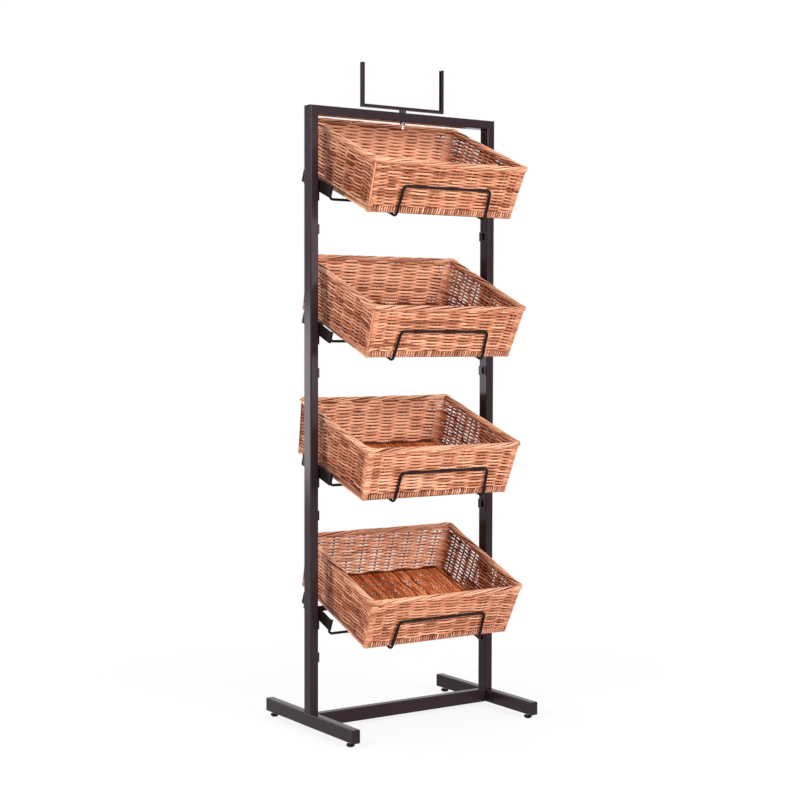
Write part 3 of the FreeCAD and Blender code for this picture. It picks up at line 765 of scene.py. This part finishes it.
def cradle_route(tier):
    """The corners of a tier's wire, from one bracket to the other."""
    shift, reach = TIERS[tier].wire_set, TIERS[tier].reach
    lean = LOOP_TOP * FRONT_FLARE / WALL_TOP
    outer = [(WIRE_LEG, WIRE_BACK, WIRE_LEG_TOP), (WIRE_LEG, WIRE_BACK, -WIRE_DROP)]
    inner = [
        (LOOP_HALF, WIRE_BACK, -WIRE_DROP),
        (LOOP_HALF, -reach, -WIRE_DROP),
        (LOOP_TOP_HALF, -reach - lean, LOOP_TOP),
    ]
    right = outer + [(x + shift, u, v) for x, u, v in inner]
    left = [(-x, u, v) for x, u, v in outer] + [(shift - x, u, v) for x, u, v in inner]
    return np.array(right + left[::-1], float)


def cradle(tier):
    """A tier's wire, on the body of its holder."""
    number = tier + 1
    route = filleted(cradle_route(tier), WIRE_BEND)
    normal = np.cross(unit(np.gradient(route, axis=0)), ASIDE)
    s = Strands(WIRE_SEED + tier)
    s.tube(route, normal, WIRE_HALF, WIRE_HALF, 0.5, WIRE_SIDES)
    piece = s.mesh(f"bent_wire_{number}", tier)
    dress(piece, "wire_coat", f"holder_{number}")
    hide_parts(f"tier_{number}_wire_cradle")


def carried_over_metal():
    """Materials for the nodes that nothing replaces."""
    for entry in frame["record"]["subparts"]:
        node = frame["nodes"][entry["node"]]
        if node.hide_render:
            continue
        for slot in node.material_slots:
            slot.link = "OBJECT"
            slot.material = SLOTS[entry["material_slot"]]


# ---- floor, light and camera ----

FLOOR_REACH = 30.0
FLOOR_NEAR, FLOOR_FAR = 0.3, 1.1        # where the backdrop takes over from the floor
BACKDROP_SHARE = 0.84                   # how much of it there is under the rack
WORLD_LIGHT = 0.34
WHITE = (1, 1, 1, 1)

# Name, place, target, width and power of each lamp.
LAMPS = (
    ("key", (0.5, -3.7, 2.1), (0, 0, 0.8), 1.5, 131),
    ("fill", (-3.3, -1.0, 1.9), (0, 0, 0.7), 0.8, 74),
    ("top", (0.0, 0.4, 3.4), (0, 0, 0.7), 1.4, 40),
    ("edge", (-1.3, 1.85, 0.66), (0, 0, 0.7), 0.6, 5.6),
    ("sheen", (1.3, -3.1, 1.1), (0, 0, 0.9), 1.0, 16),
)

CAMERA_PLACE = (-2.0579, -3.0850, 0.8802)
YAW, PITCH, ROLL = math.radians(33.640), math.radians(2.318), math.radians(-0.128)
FOCAL, FRAME_WIDE, SENSOR = 1624.7, 800, 36.0           # two in pixels, one in mm


def studio_floor():
    """A pale floor that turns into the white backdrop away from the rack."""
    mesh = bpy.data.meshes.new("studio_floor")
    corners = [(-1, -1), (1, -1), (1, 1), (-1, 1)]
    points = [(x * FLOOR_REACH, y * FLOOR_REACH, 0) for x, y in corners]
    mesh.from_pydata(points, [], [(0, 1, 2, 3)])
    made = link("studio_floor", mesh)
    n = material("studio_floor")
    n.finish(Base_Color=(0.86, 0.86, 0.86, 1), Roughness=0.9, Specular_IOR_Level=0.1)
    away = n.add("ShaderNodeVectorMath", {0: n.place()}, operation="LENGTH").outputs["Value"]
    fade = n.span(away, BACKDROP_SHARE, 1.0, From_Min=FLOOR_NEAR, From_Max=FLOOR_FAR)
    share = n.math("MULTIPLY", fade, n.directly_seen())
    white = n.add("ShaderNodeEmission", {"Color": WHITE, "Strength": 1.0}).outputs[0]
    mix = n.add("ShaderNodeMixShader", {"Fac": share, 1: n.shader.outputs[0], 2: white})
    n.put(n.tree.nodes["Material Output"].inputs["Surface"], mix.outputs[0])
    mesh.materials.append(n.owner)


def studio_world():
    """White where it is seen or mirrored, softer as a source of light."""
    world = bpy.data.worlds.new("studio")
    bpy.context.scene.world = world
    n = Nodes(world, "Background")
    n.finish(Color=WHITE, Strength=n.span(n.directly_seen(), WORLD_LIGHT, 1.0))


def lamp(name, place, target, size, power):
    """A square soft light that looks at a point."""
    data = bpy.data.lights.new(name, "AREA")
    data.size = size
    data.energy = power
    made = link(name, data)
    made.location = place
    aim = Vector(target) - Vector(place)
    made.rotation_euler = aim.to_track_quat("-Z", "Y").to_euler()


def camera():
    """The camera that the rack was solved with."""
    forward = Vector(
        (math.sin(YAW) * math.cos(PITCH), math.cos(YAW) * math.cos(PITCH), -math.sin(PITCH))
    )
    right = Vector((math.cos(YAW), -math.sin(YAW), 0))
    down = forward.cross(right)
    across = right * math.cos(ROLL) + down * math.sin(ROLL)
    downward = down * math.cos(ROLL) - right * math.sin(ROLL)
    data = bpy.data.cameras.new("camera")
    data.sensor_width = SENSOR
    data.lens = FOCAL / FRAME_WIDE * SENSOR
    data.clip_end = 100.0
    made = link("camera", data)
    turn = Matrix((across, -downward, -forward)).transposed().to_4x4()
    made.matrix_world = Matrix.Translation(CAMERA_PLACE) @ turn
    bpy.context.scene.camera = made


for tier in range(len(TIERS)):
    basket(tier)
for tier in range(len(TIERS)):
    cradle(tier)
carried_over_metal()
studio_floor()
studio_world()
for settings in LAMPS:
    lamp(*settings)
camera()
bpy.context.scene.view_settings.view_transform = "Standard"
